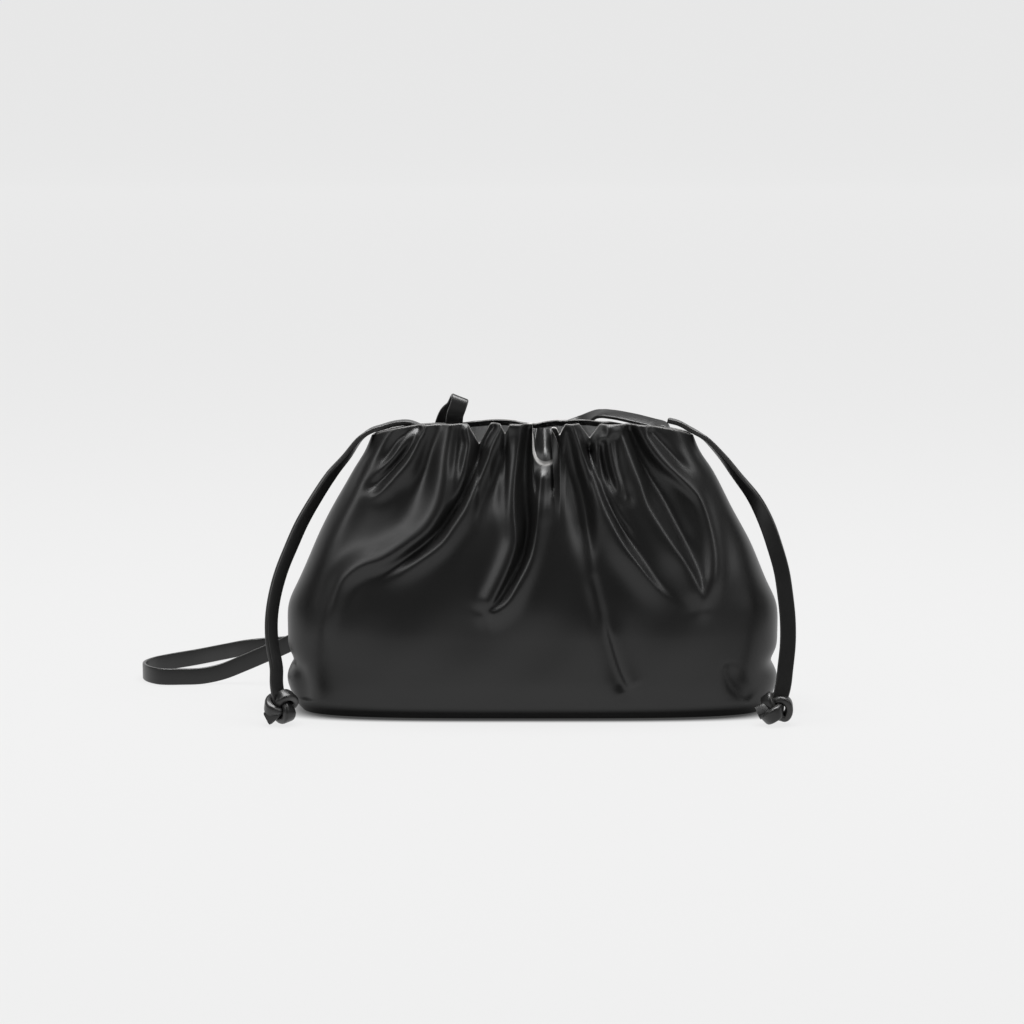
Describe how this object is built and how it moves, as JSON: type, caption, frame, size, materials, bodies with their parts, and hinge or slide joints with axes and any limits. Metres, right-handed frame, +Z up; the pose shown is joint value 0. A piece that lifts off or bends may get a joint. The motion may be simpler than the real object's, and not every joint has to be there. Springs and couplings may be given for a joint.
{
  "type": "cloud pouch bag",
  "caption": "Soft gathered leather pouch bag with an open mouth, flat side laces ending in knots, and one long flat shoulder strap.",
  "frame": {"origin": "middle of the flat base of the pouch, on the surface that it stands on", "axes": "+X towards the bag's right as seen from its front, +Y towards its back, +Z up"},
  "size_m": [0.4068, 0.2293, 0.187],
  "materials": {
    "pouch_leather": "smooth black leather, soft satin sheen",
    "lace_leather": "smooth black leather lace, satin",
    "strap_leather": "smooth black leather strap, satin, painted edges"
  },
  "bodies": {
    "root": {"pouch_body": "pouch_leather", "left_lace": "lace_leather", "right_lace": "lace_leather", "left_knot": "lace_leather", "right_knot": "lace_leather", "shoulder_strap": "strap_leather"}
  },
  "joints": []
}
